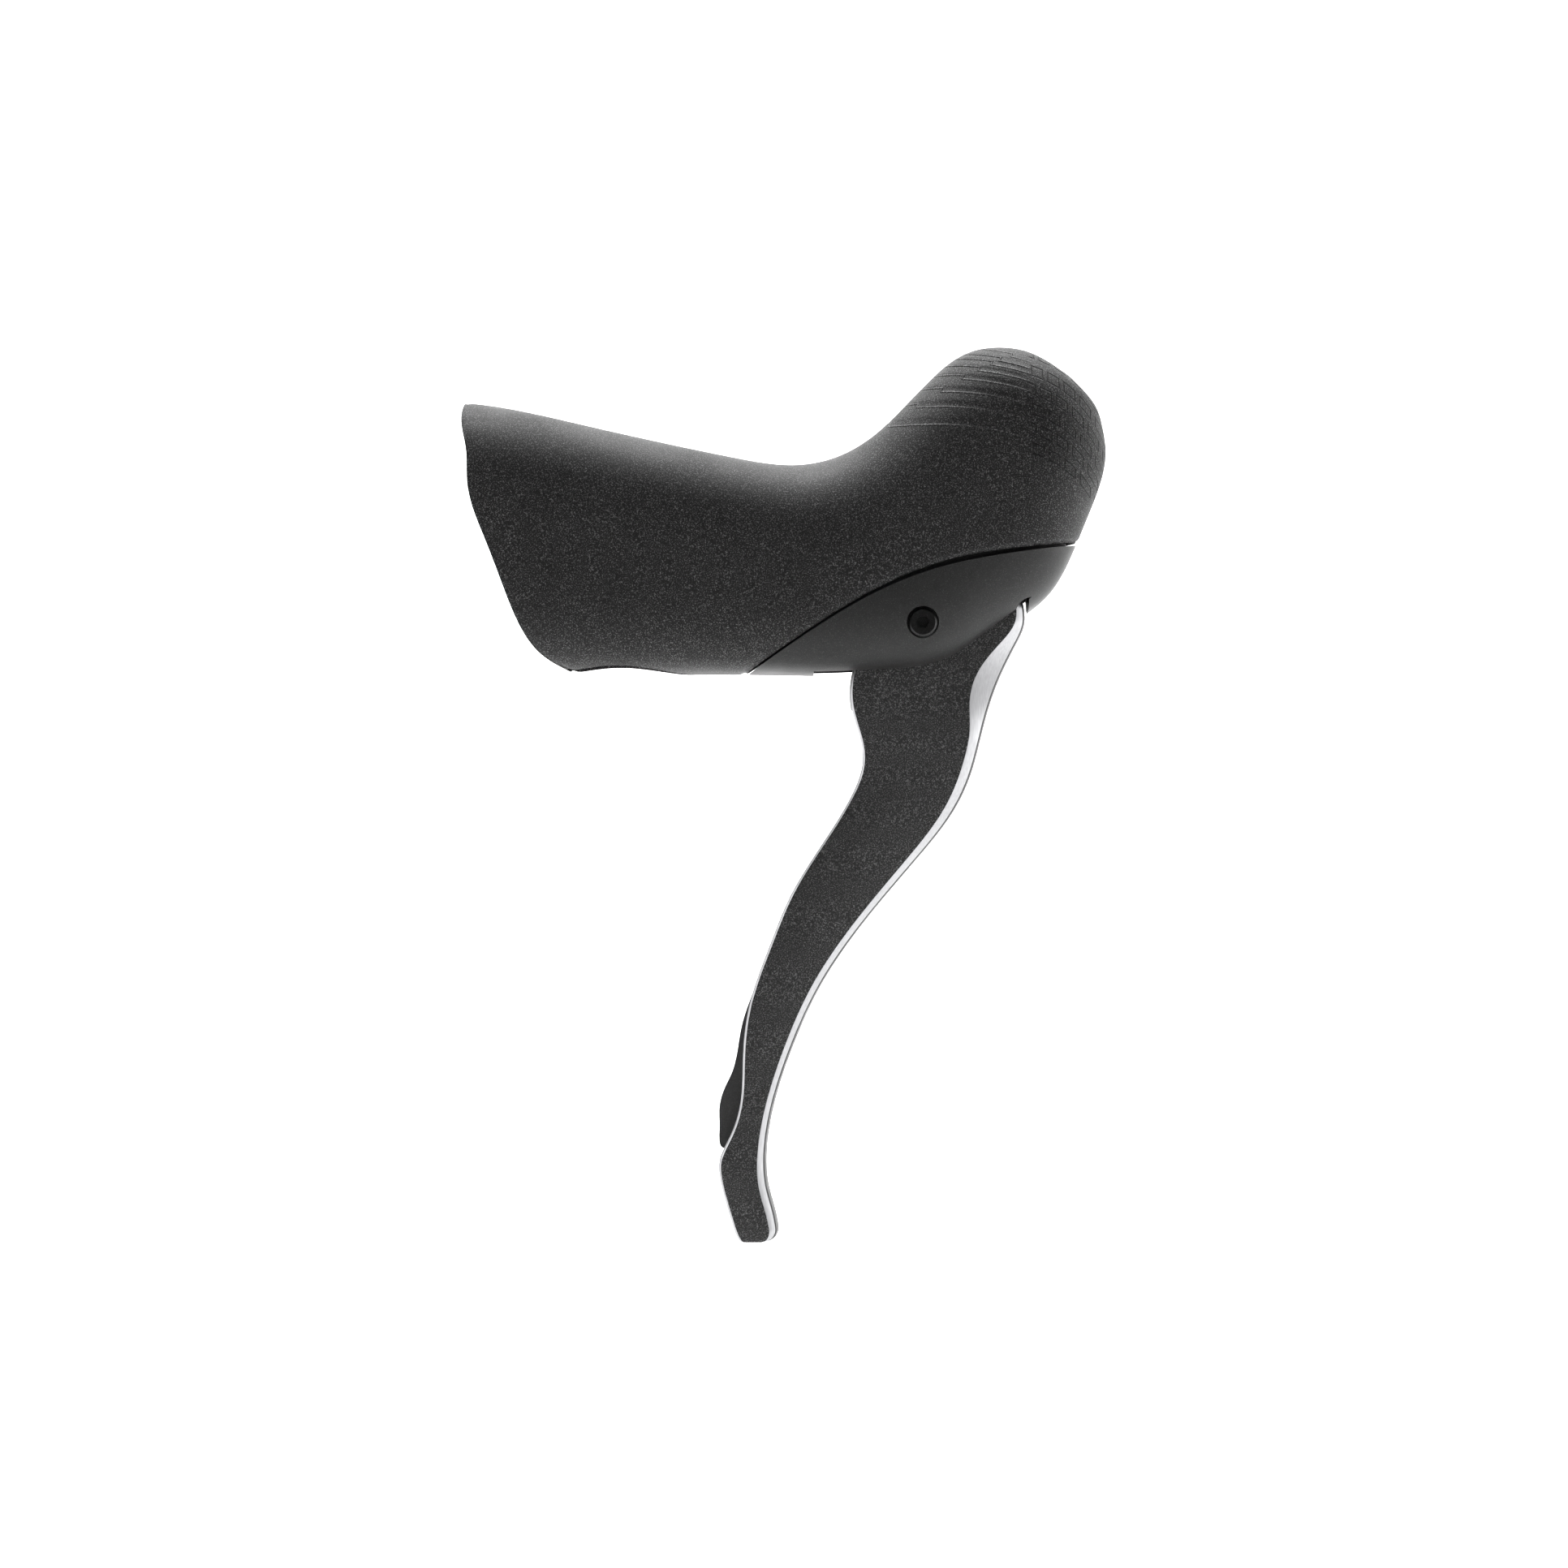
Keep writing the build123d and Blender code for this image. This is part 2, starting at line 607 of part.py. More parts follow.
def lower_shift_paddle():
    stem = outline([
        (58.5, -37.5), (62.3, -37.5), (62.3, -39.0), (59.2, -44.0), (52.2, -53.4), (47.8, -58.6), (39.8, -68.9),
        (34.2, -78.0), (30.2, -80.0), (33.0, -71.5), (36.5, -65.5), (43.8, -58.2), (48.2, -53.2), (54.9, -44.2),
        (58.5, -40.0),
    ])
    pad = [
        (33.4, -74.0), (34.6, -78.0), (32.2, -84.0), (30.3, -90.0), (29.3, -94.0), (28.7, -98.0), (27.2, -103.2),
        (25.6, -103.6), (24.9, -100.0), (24.9, -96.3), (25.9, -92.9), (27.0, -90.6), (28.4, -84.3), (30.3, -77.5),
    ]
    paddle = side(stem, 3.4, 5.6) + side(make_face(Spline(*pad, periodic=True)), 2.4, 6.8)
    paddle += paddle_boss(58.5, 62.3) + paddle_lug(59.0, 61.8)
    return paddle - rod(paddle_frame(), PADDLE_PIN_R + RUNNING, 40, 80)


def upper_shift_paddle():
    stem = outline([
        (52.6, -37.5), (56.4, -37.5), (57.2, -40.0), (53.4, -44.6), (49.0, -50.0), (48.6, -46.8), (52.6, -40.9),
    ])
    pad = [(53.2, -45.2), (47.0, -53.0), (42.8, -57.8), (40.6, -59.6), (40.6, -57.6), (43.2, -53.4), (48.6, -46.4)]
    paddle = side(stem, 3.4, 5.6) + side(make_face(Spline(*pad, periodic=True)), 2.6, 7.2)
    paddle += paddle_boss(52.6, 56.4) + paddle_lug(53.1, 55.9)
    return paddle - rod(paddle_frame(), PADDLE_PIN_R + RUNNING, 40, 80)


def paddle_pin():
    return rod(paddle_frame(), PADDLE_PIN_R, 50.0, 66.8)


def paddle_spring(start):
    return coil(paddle_frame(), 1.6, 0.3, start, 0.4, 3)


def upper_paddle_spring():
    return paddle_spring(56.75)


def lower_paddle_spring():
    return paddle_spring(62.65)


def switch_module():
    """Two tact switches side by side in one sealed block, with a plunger towards each paddle's lug."""
    module = block(Plane.XY, 52.8, 62.2, -5.9, -1.4, -34.6, -28.2)
    for x in (54.5, 60.4):
        module += rod(across(x, -32.6), 0.8, -1.5, -0.35)
    return module


PARTS = {
    "hood_cover": hood_cover,
    "bracket_body": bracket_body,
    "clamp_band": clamp_band,
    "clamp_yoke": clamp_yoke,
    "clamp_bolt": clamp_bolt,
    "clamp_washer": clamp_washer,
    "hose_insert": hose_insert,
    "hose_nut": hose_nut,
    "control_board": control_board,
    "board_components": board_components,
    "battery_clip": battery_clip,
    "coin_cell": coin_cell,
    "door_seal": door_seal,
    "battery_door": battery_door,
    "door_screws": door_screws,
    "mode_switch": mode_switch,
    "mode_button": mode_button,
    "status_led": status_led,
    "pivot_axle": pivot_axle,
    "pivot_screw": pivot_screw,
    "pivot_bushes": pivot_bushes,
    "return_spring": return_spring,
    "master_cylinder": master_cylinder,
    "reservoir_bladder": reservoir_bladder,
    "reservoir_cap": reservoir_cap,
    "cap_screws": cap_screws,
    "bleed_screw": bleed_screw,
    "bleed_seal": bleed_seal,
    "master_piston": master_piston,
    "piston_seals": piston_seals,
    "push_rod": push_rod,
    "piston_spring": piston_spring,
    "brake_lever": brake_lever,
    "reach_adjust_screw": reach_adjust_screw,
    "cam_roller": cam_roller,
    "roller_pin": roller_pin,
    "upper_shift_paddle": upper_shift_paddle,
    "lower_shift_paddle": lower_shift_paddle,
    "paddle_pin": paddle_pin,
    "upper_paddle_spring": upper_paddle_spring,
    "lower_paddle_spring": lower_paddle_spring,
    "switch_module": switch_module,
}

if __name__ == "__main__":
    os.makedirs("parts", exist_ok=True)
    for name, make in PARTS.items():
        export_step(make(), f"parts/{name}.step")
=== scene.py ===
"""Looks of the drop-bar brake shift lever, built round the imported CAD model."""

import json
from math import cos, pi, radians, sin

import bmesh
import bpy
import numpy as np
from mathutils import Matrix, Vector


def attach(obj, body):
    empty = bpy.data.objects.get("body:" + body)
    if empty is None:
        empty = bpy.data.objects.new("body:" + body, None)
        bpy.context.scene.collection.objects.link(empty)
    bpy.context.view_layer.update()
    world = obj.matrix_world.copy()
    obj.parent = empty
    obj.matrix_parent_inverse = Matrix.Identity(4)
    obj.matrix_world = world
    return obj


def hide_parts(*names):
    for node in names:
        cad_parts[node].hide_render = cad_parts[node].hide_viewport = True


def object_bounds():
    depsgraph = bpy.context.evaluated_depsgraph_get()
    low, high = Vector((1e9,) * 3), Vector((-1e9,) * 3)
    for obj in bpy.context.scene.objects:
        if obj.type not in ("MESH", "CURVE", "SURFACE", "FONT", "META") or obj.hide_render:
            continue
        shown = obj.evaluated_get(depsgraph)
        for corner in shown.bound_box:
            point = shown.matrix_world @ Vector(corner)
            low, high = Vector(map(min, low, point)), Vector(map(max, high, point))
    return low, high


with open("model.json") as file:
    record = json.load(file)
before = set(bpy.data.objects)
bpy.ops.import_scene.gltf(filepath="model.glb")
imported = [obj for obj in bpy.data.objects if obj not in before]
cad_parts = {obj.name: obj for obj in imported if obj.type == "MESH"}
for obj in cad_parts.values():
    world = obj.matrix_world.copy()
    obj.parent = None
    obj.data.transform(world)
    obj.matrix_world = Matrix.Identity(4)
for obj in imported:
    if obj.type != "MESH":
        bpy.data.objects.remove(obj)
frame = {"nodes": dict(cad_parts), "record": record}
cad_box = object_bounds()

MM = 0.001
OUTSIDE = 60  # mm, past every surface of the part

# --- the grip's form, in mm: the CAD model's, but with a slightly rounder nose ------------------------------
# top point, bottom point, half width, squareness of the upper and of the lower half
GRIP = [
    (-27.0, 27.9, -27.0, -20.2, 18.6, 2.7, 4.0),
    (-13.0, 26.7, -9.0, -20.2, 18.5, 2.7, 4.0),
    (1.0, 23.7, 2.0, -20.2, 18.0, 2.7, 4.0),
    (16.3, 20.3, 16.0, -20.2, 17.3, 2.6, 3.9),
    (28.0, 17.9, 29.0, -20.2, 16.8, 2.5, 3.8),
    (38.3, 16.7, 42.0, -20.4, 16.4, 2.4, 3.6),
    (46.7, 18.6, 54.0, -20.2, 16.3, 2.4, 3.3),
    (52.2, 22.0, 64.0, -18.9, 16.3, 2.4, 3.1),
    (57.6, 27.1, 75.0, -12.1, 16.2, 2.4, 2.8),
    (62.5, 32.1, 83.4, -5.5, 15.9, 2.4, 2.6),
    (66.6, 35.4, 89.2, 6.2, 15.2, 2.3, 2.4),
    (70.4, 37.0, 92.2, 14.2, 14.1, 2.2, 2.2),
    (74.3, 37.4, 92.9, 19.5, 12.4, 2.1, 2.1),
    (78.3, 36.9, 92.2, 24.0, 10.1, 2.0, 2.0),
    (81.8, 35.4, 90.7, 27.7, 7.1, 2.0, 2.0),
    (84.6, 33.6, 88.2, 30.6, 3.2, 2.0, 2.0),
]
KNOB_START = 7  # the station from which the rows of the mesh are fine enough for the grip's ridges
COARSE_STEP, FINE_STEP = 1.0, 0.34
AROUND = 300
HOOD_WALL = 1.8
EDGE_ROUND = 0.8  # the rounding of the hood's cut edges
NOSE_BULGE = 0.3

REAR_EDGE = [
    (-19.5, 32.0), (-19.6, 27.2), (-19.9, 25.0), (-18.9, 19.0), (-18.5, 12.5), (-15.5, 3.1),
    (-12.8, -3.9), (-9.9, -11.1), (-6.4, -16.4), (-1.6, -19.5), (4.0, -21.6), (9.0, -24.0),
]
SEAM = [
    (26.4, -22.6), (29.9, -20.1), (39.0, -13.8), (51.1, -6.4), (64.0, -1.3), (75.4, 1.0), (87.9, 2.7),
    (97.0, 3.7),
]
SEAM_SHIFT, SEAM_BULGE = 0.2, 0.42  # the hood's edge above the seam line, and what its middle adds
SEAM_BULGE_X, SEAM_BULGE_LONG = 68, 13
BAR_RELIEF = 12.4
BAR_TILT = 20

# --- the blade, in mm ---------------------------------------------------------------------------------------
# height and place of its front and back edges in side view
BLADE_FRONT = [
    (-7.6, 78.3), (-11.4, 78.6), (-15.0, 77.1), (-21.4, 74.0), (-30.7, 71.1), (-38.0, 69.1), (-44.9, 65.7),
    (-53.4, 59.0), (-63.7, 50.4), (-74.0, 43.3), (-84.3, 38.4), (-94.6, 34.9), (-104.9, 33.3), (-110.0, 33.7),
    (-114.5, 34.9), (-117.2, 35.4), (-120.0, 35.6),
]
BLADE_BACK = [
    (-7.6, 53.5), (-15.0, 50.0), (-20.9, 48.1), (-26.5, 48.2), (-32.9, 49.9), (-35.9, 50.0), (-41.4, 48.1),
    (-48.3, 44.0), (-58.6, 37.6), (-67.1, 34.0), (-77.4, 30.4), (-87.4, 29.1), (-96.1, 28.5), (-101.4, 26.7),
    (-105.4, 25.0), (-108.5, 25.1), (-113.0, 26.2), (-120.0, 28.4),
]
BEVEL_WIDTH = [
    (-7.6, 0.9), (-12.6, 1.7), (-15.4, 2.7), (-18.6, 3.7), (-21.4, 3.9), (-24.3, 3.5), (-27.1, 2.7),
    (-30.0, 1.9), (-35.0, 1.6), (-44.3, 1.5), (-60.0, 1.25), (-80.0, 1.0), (-104.0, 1.0), (-117.0, 1.1),
    (-120.0, 0.9),
]
HALF_WIDTH = [(-7.6, 7.9), (-15.0, 8.5), (-38.0, 8.3), (-68.9, 7.6), (-104.9, 6.9), (-120.0, 6.6)]
BLADE_TOP, BLADE_FOOT, BLADE_END = -7.6, -117.2, -119.6
BLADE_STEP = 0.5
LIP, FRONT_CROWN = 0.65, 0.3
BEVEL_DEPTH = 2.2  # the most that the bevel cuts into the side face
BACK_CHAMFER = 0.4
CORNER_R = 0.14
WALL, FRONT_WALL, MOUTH_LIP = 2.0, 3.6, 1.2
CHANNEL_TOP, CHANNEL_END = -26.4, -105.2
PIVOT = (60.4, -11.3)
HUB_R, HUB_HALF, BUSH_R = 7.2, 8.5, 3.81
ARM_LENGTH, BORE_TILT, HALF_SWING = 15.0, 30, 11
PADDLE_PIN = (2.6, -37.5)
PIN_WEB = [(50.2, -40.4), (52.2, -40.4), (52.2, -34.6), (50.2, -34.6)]  # carries the pin's rear end
ARM_HALF, ARM_FOOT, ARM_TIP = 4.4, 5, 2.2  # the cam arm's half width, and half height at each end


# --- numbers and meshes -------------------------------------------------------------------------------------
def natural_spline(knots, values, at):
    """A natural cubic spline through values at knots, sampled at the places in at."""
    knots, values, at = (np.asarray(a, float) for a in (knots, values, at))
    gaps = np.diff(knots)
    count = len(knots)
    system, right = np.eye(count), np.zeros(count)
    for k in range(1, count - 1):
        system[k, k - 1:k + 2] = gaps[k - 1], 2 * (gaps[k - 1] + gaps[k]), gaps[k]
        right[k] = 6 * ((values[k + 1] - values[k]) / gaps[k] - (values[k] - values[k - 1]) / gaps[k - 1])
    bend = np.linalg.solve(system, right)
    k = np.clip(np.searchsorted(knots, at) - 1, 0, count - 2)
    a, b = knots[k + 1] - at, at - knots[k]
    straight = (values[k] * a + values[k + 1] * b) / gaps[k]
    curved = bend[k] * (a ** 3 / gaps[k] - a * gaps[k]) + bend[k + 1] * (b ** 3 / gaps[k] - b * gaps[k])
    return straight + curved / 6


def curve_through(points, count):
    """A smooth open line through side-view points, as count samples."""
    points = np.asarray(points, float)
    along = np.concatenate([[0], np.cumsum(np.hypot(*np.diff(points, axis=0).T))])
    at = np.linspace(0, along[-1], count)
    return np.stack([natural_spline(along, points[:, k], at) for k in range(2)], axis=1)


def distance_to_line(x, z, line):
    """The shortest side-view distance from each point to a sampled line."""
    near = np.full(x.shape, np.inf)
    for px, pz in line:
        near = np.minimum(near, np.hypot(x - px, z - pz))
    return near


def mesh_object(name, vertices, faces):
    mesh = bpy.data.meshes.new(name)
    mesh.from_pydata([tuple(v) for v in np.asarray(vertices) * MM], [], faces)
    mesh.validate()
    made = bpy.data.objects.new(name, mesh)
    bpy.context.scene.collection.objects.link(made)
    return made


def ring_faces(rows, around, first=0, flip=False):
    faces = []
    for r in range(rows - 1):
        for k in range(around):
            a = first + r * around + k
            b = first + r * around + (k + 1) % around
            quad = (a, b, b + around, a + around)
            faces.append(quad[::-1] if flip else quad)
    return faces


def prism(name, outline, y0, y1):
    """A side-view outline carried from y0 to y1."""
    count = len(outline)
    vertices = [(x, y, z) for y in (y0, y1) for x, z in outline]
    faces = [(k, (k + 1) % count, count + (k + 1) % count, count + k) for k in range(count)]
    faces += [tuple(range(count))[::-1], tuple(range(count, 2 * count))]
    made = mesh_object(name, vertices, faces)
    face_outwards(made)
    return made


def tube(name, centre, direction, radius, length, sides=96):
    """A solid round bar about centre, in mm."""
    direction = np.asarray(direction, float) / np.linalg.norm(direction)
    aside = np.cross(direction, (0, 1, 0) if abs(direction[1]) < 0.9 else (1, 0, 0))
    aside /= np.linalg.norm(aside)
    third = np.cross(direction, aside)
    vertices = []
    for end in (-length / 2, length / 2):
        for k in range(sides):
            angle = 2 * pi * k / sides
            out = radius * (aside * cos(angle) + third * sin(angle))
            vertices.append(np.asarray(centre) + direction * end + out)
    faces = ring_faces(2, sides) + [tuple(range(sides))[::-1], tuple(range(sides, 2 * sides))]
    made = mesh_object(name, vertices, faces)
    face_outwards(made)
    return made


def face_outwards(piece):
    work = bmesh.new()
    work.from_mesh(piece.data)
    bmesh.ops.recalc_face_normals(work, faces=work.faces)
    work.to_mesh(piece.data)
    work.free()


def combine(piece, other, operation):
    """Applies one boolean and throws the other solid away."""
    change = piece.modifiers.new(operation, "BOOLEAN")
    change.operation = operation
    change.solver = "EXACT"
    change.object = other
    bake(piece)
    bpy.data.objects.remove(other, do_unlink=True)


def bake(piece):
    """Applies every modifier that the piece has."""
    graph = bpy.context.evaluated_depsgraph_get()
    mesh = bpy.data.meshes.new_from_object(piece.evaluated_get(graph))
    piece.modifiers.clear()
    piece.data = mesh


def shade(piece, angle):
    piece.data.polygons.foreach_set("use_smooth", [True] * len(piece.data.polygons))
    piece.data.set_sharp_from_angle(angle=radians(angle))


# --- materials ----------------------------------------------------------------------------------------------
class Nodes:
    """A short way to wire a procedural material. Sizes are in mm."""

    def __init__(self, name):
        self.material = bpy.data.materials.new(name)
        self.material.use_nodes = True
        self.tree = self.material.node_tree
        self.shader = self.tree.nodes["Principled BSDF"]
        self.place = self.add("ShaderNodeTexCoord").outputs["Object"]

    def add(self, kind, **values):
        node = self.tree.nodes.new(kind)
        for name, value in values.items():
            setattr(node, name, value)
        return node

    def link(self, source, target):
        self.tree.links.new(source, target)

    def noise(self, size, detail=2.0, stretch=(1, 1, 1)):
        place = self.add("ShaderNodeMapping")
        place.inputs["Scale"].default_value = [s / (size * MM) for s in stretch]
        self.link(self.place, place.inputs["Vector"])
        noise = self.add("ShaderNodeTexNoise")
        noise.inputs["Scale"].default_value = 1.0
        noise.inputs["Detail"].default_value = detail
        self.link(place.outputs["Vector"], noise.inputs["Vector"])
        return noise.outputs["Fac"]

    def ramp(self, source, stops):
        ramp = self.add("ShaderNodeValToRGB")
        while len(ramp.color_ramp.elements) < len(stops):
            ramp.color_ramp.elements.new(0.5)
        for element, (place, value) in zip(ramp.color_ramp.elements, stops):
            element.position = place
            element.color = (*value, 1) if isinstance(value, tuple) else (value, value, value, 1)
        self.link(source, ramp.inputs["Fac"])
        return ramp.outputs["Color"]

    def mix(self, blend, factor, a, b):
        mix = self.add("ShaderNodeMix", data_type="RGBA", blend_type=blend)
        mix.inputs["Factor"].default_value = factor
        self.link(a, mix.inputs["A"])
        self.link(b, mix.inputs["B"])
        return mix.outputs["Result"]

    def math(self, operation, *values):
        node = self.add("ShaderNodeMath", operation=operation)
        for socket, value in zip(node.inputs, values):
            if isinstance(value, (int, float)):
                socket.default_value = value
            else:
                self.link(value, socket)
        return node.outputs["Value"]

    def smooth(self, value, low, high):
        """Rises softly from 0 to 1 while value goes from low to high."""
        node = self.add("ShaderNodeMapRange", interpolation_type="SMOOTHSTEP")
        node.inputs["From Min"].default_value = low
        node.inputs["From Max"].default_value = high
        self.link(value, node.inputs["Value"])
        return node.outputs["Result"]

    def bump(self, source, height, after=None):
        bump = self.add("ShaderNodeBump")
        bump.inputs["Strength"].default_value = 1.0
        bump.inputs["Distance"].default_value = height * MM
        self.link(source, bump.inputs["Height"])
        if after is not None:
            self.link(after, bump.inputs["Normal"])
        return bump.outputs["Normal"]

    def finish(self, colour, roughness, normal, metallic=0.0, **sockets):
        self.link(colour, self.shader.inputs["Base Color"])
        self.link(roughness, self.shader.inputs["Roughness"])
        self.link(normal, self.shader.inputs["Normal"])
        self.shader.inputs["Metallic"].default_value = metallic
        for name, value in sockets.items():
            self.shader.inputs[name.replace("_", " ")].default_value = value
        return self.material


def grained(name, dark, light, size, height, rough, metallic=0.0, flecks=0.5, pattern=None, **sockets):
    """A dark surface with fine grain, pale flecks, faint mottling and, where given, a raised pattern whose
    lines carry a painted highlight and whose grooves carry painted shade.
    """
    m = Nodes(name)
    grain = m.noise(size, 3.0)
    slow = m.noise(size * 60, 2.0)
    colour = m.ramp(grain, [(flecks, dark), (flecks + 0.22, light)])
    colour = m.mix("MULTIPLY", 0.5, colour, m.ramp(slow, [(0.3, 0.7), (0.7, 1.0)]))
    roughness = m.ramp(slow, [(0.3, rough - 0.05), (0.7, rough + 0.06)])
    normal = m.bump(m.noise(size * 1.4, 3.0), height)
    if pattern is not None:
        raised = pattern(m)
        normal = m.bump(raised, PATTERN_HEIGHT, normal)
        # painted highlight on the pattern's raised lines and painted shade in its grooves, multiplied into
        # the colour
        tint = m.math("ADD", m.math("MULTIPLY", raised, PATTERN_TINT), 1.0)
        painted_light_and_shade = m.math("MAXIMUM", tint, PATTERN_DARKEST)
        colour = m.mix("MULTIPLY", 1.0, colour, painted_light_and_shade)
    return m.finish(colour, roughness, normal, metallic, **sockets)


def brushed(name, colour, rough, along, metallic=1.0, depth=0.006):
    """Metal with fine lines along one direction."""
    m = Nodes(name)
    lines = m.noise(0.22, 2.0, along)
    slow = m.noise(9.0, 2.0)
    tint = m.ramp(lines, [(0.3, tuple(c * 0.82 for c in colour)), (0.7, colour)])
    roughness = m.ramp(slow, [(0.3, rough - 0.05), (0.7, rough + 0.08)])
    return m.finish(tint, roughness, m.bump(lines, depth), metallic)


def make_materials():
    made = {
        "hood_rubber": grained("hood_rubber", 0.014, 0.2, 0.2, 0.07, 0.6, flecks=0.52,
                               pattern=knob_pattern, Specular_IOR_Level=0.22),
        "body_resin": grained("body_resin", 0.016, 0.07, 0.16, 0.02, 0.52, flecks=0.56,
                              Specular_IOR_Level=0.34),
        "lever_paint": grained("lever_paint", 0.014, 0.2, 0.2, 0.03, 0.5, 0.2, 0.5),
        "lever_lip": grained("lever_lip", 0.025, 0.05, 0.16, 0.008, 0.5, 0.2),
        "lever_bevel": brushed("lever_bevel", (0.42, 0.42, 0.43), 0.34, (1, 1, 0.08)),
        "paddle_plastic": grained("paddle_plastic", 0.05, 0.085, 0.18, 0.012, 0.46),
        "steel": brushed("steel", (0.56, 0.56, 0.57), 0.3, (1, 0.1, 1)),
        "black_steel": grained("black_steel", 0.018, 0.035, 0.2, 0.006, 0.34, 0.7),
        "spring_steel": brushed("spring_steel", (0.4, 0.4, 0.41), 0.34, (1, 1, 0.2)),
        "cell_steel": brushed("cell_steel", (0.66, 0.66, 0.67), 0.24, (1, 1, 0.2)),
        "aluminium_body": brushed("aluminium_body", (0.34, 0.34, 0.36), 0.4, (0.2, 1, 1)),
        "brass": brushed("brass", (0.7, 0.52, 0.23), 0.32, (0.2, 1, 1)),
        "seal_rubber": grained("seal_rubber", 0.014, 0.024, 0.3, 0.01, 0.5),
        "bush_plastic": grained("bush_plastic", 0.045, 0.07, 0.3, 0.01, 0.48),
        "component_plastic": grained("component_plastic", 0.03, 0.05, 0.2, 0.008, 0.4),
        "button_rubber": grained("button_rubber", 0.03, 0.06, 0.2, 0.02, 0.52),
    }
    board = Nodes("circuit_board")
    copper = board.noise(1.3, 0.0, (1, 1, 3))
    mask = board.ramp(copper, [(0.48, (0.008, 0.06, 0.025)), (0.52, (0.02, 0.13, 0.05))])
    rough = board.ramp(board.noise(4.0), [(0.3, 0.25), (0.7, 0.38)])
    made["circuit_board"] = board.finish(mask, rough, board.bump(copper, 0.02))
    lens = Nodes("light_lens")
    tint = lens.ramp(lens.noise(0.6), [(0.3, (0.32, 0.36, 0.32)), (0.7, (0.5, 0.56, 0.5))])
    rough = lens.ramp(lens.noise(2.0), [(0.3, 0.1), (0.7, 0.18)])
    made["light_lens"] = lens.finish(tint, rough, lens.bump(lens.noise(0.4), 0.004))
    return made


def paint_nodes(materials):
    for part in frame["record"]["subparts"]:
        node = frame["nodes"][part["node"]]
        node.data.materials.clear()
        node.data.materials.append(materials[part["material_slot"]])


# --- the knob's pattern -------------------------------------------------------------------------------------
ROW_DROP, ROW_FALL, ROW_POWER, ROW_REACH = 0.0085, 3.4, 6.7, 27.5
ROW_START_X = 62.0
RIDGES = [37.6, 36.3, 35.3, 33.9, 32.1, 29.7, 27.0, 23.8]  # each line's height where the knob begins
RIDGE_HEIGHT = 0.1
PATTERN_HEIGHT = 0.32
PATTERN_TINT, PATTERN_DARKEST = 1.3, 0.15  # painted highlight makes the lines paler and painted shade makes the grooves darker
LINE_HALF = 0.2  # half the width of a ridge's crisp line
JOG_START, JOG_SLOPE, JOG_SHIFT = 18.3, 1.55, 0.7  # where the lines step aside, and by how much
BRICK_TOP, BRICK_PITCH, BRICK_STEP = 37.0, 3.4, 3.5
BRICK_START_X, BRICK_STRETCH = 79.0, 1.25
BRICK_HALF_LONG, BRICK_HALF_TALL, BRICK_LINE = 1.2, 0.88, 0.17
JOG_HALF = 0.6
LINES_FADE_IN, LINES_FADE_OUT = (50.0, 54.0), (75.5, 80.5)  # along x
BRICKS_FADE_IN, BRICKS_FLOOR = (78.6, 79.6), (19.6, 20.0)  # along x, and by the height where a row starts
ROW_PARITY_LIFT = 20.0  # keeps row numbers positive, and is even


def knob_pattern(m):
    """The ridges' crisp lines and the grooves round the bricks near the nose, as a height."""
    parts = m.add("ShaderNodeSeparateXYZ")
    m.link(m.place, parts.inputs["Vector"])
    x, z = (m.math("DIVIDE", parts.outputs[name], MM) for name in ("X", "Z"))
    past = m.math("MAXIMUM", m.math("SUBTRACT", x, ROW_START_X), 0.0)
    droop = m.math("MULTIPLY", m.math("POWER", past, 2.0), ROW_DROP)
    fall = m.math("MULTIPLY", m.math("POWER", m.math("DIVIDE", past, ROW_REACH), ROW_POWER), ROW_FALL)
    start = m.math("ADD", z, m.math("ADD", droop, fall))
    beyond = m.math("SUBTRACT", x, m.math("ADD", m.math("MULTIPLY", start, JOG_SLOPE), JOG_START))
    stepped = m.math("ADD", start, m.math("MULTIPLY", m.smooth(beyond, -JOG_HALF, JOG_HALF), JOG_SHIFT))
    near = m.math("ABSOLUTE", m.math("SUBTRACT", stepped, RIDGES[0]))
    for ridge in RIDGES[1:]:
        near = m.math("MINIMUM", near, m.math("ABSOLUTE", m.math("SUBTRACT", stepped, ridge)))
    line = m.math("SUBTRACT", 1.0, m.smooth(near, 0.0, LINE_HALF))
    line = m.math("MULTIPLY", line, m.math("SUBTRACT", 1.0, m.smooth(x, *LINES_FADE_OUT)))
    line = m.math("MULTIPLY", line, m.smooth(x, *LINES_FADE_IN))
    down = m.math("DIVIDE", m.math("SUBTRACT", BRICK_TOP, start), BRICK_PITCH)
    row = m.math("FLOOR", down)
    across = m.math("MULTIPLY", m.math("SUBTRACT", m.math("SUBTRACT", down, row), 0.5), BRICK_PITCH)
    shift = m.math("MULTIPLY", m.math("MODULO", m.math("ADD", row, ROW_PARITY_LIFT), 2.0), 0.5)
    along = m.math("MULTIPLY", m.math("SUBTRACT", x, BRICK_START_X), BRICK_STRETCH / BRICK_STEP)
    cell = m.math("ADD", along, shift)
    share = m.math("SUBTRACT", cell, m.math("FLOOR", cell))
    cell = m.math("MULTIPLY", m.math("SUBTRACT", share, 0.5), BRICK_STEP)
    inside = m.math("MINIMUM", m.math("SUBTRACT", BRICK_HALF_LONG, m.math("ABSOLUTE", cell)),
                    m.math("SUBTRACT", BRICK_HALF_TALL, m.math("ABSOLUTE", across)))
    groove = m.math("SUBTRACT", 1.0, m.smooth(m.math("ABSOLUTE", inside), 0.0, BRICK_LINE))
    shown = m.math("MULTIPLY", m.smooth(x, *BRICKS_FADE_IN), m.smooth(start, *BRICKS_FLOOR))
    return m.math("SUBTRACT", line, m.math("MULTIPLY", groove, shown))


# --- hood ---------------------------------------------------------------------------------------------------
def soft_step(value, low, high):
    part = np.clip((value - low) / (high - low), 0, 1)
    return part * part * (3 - 2 * part)


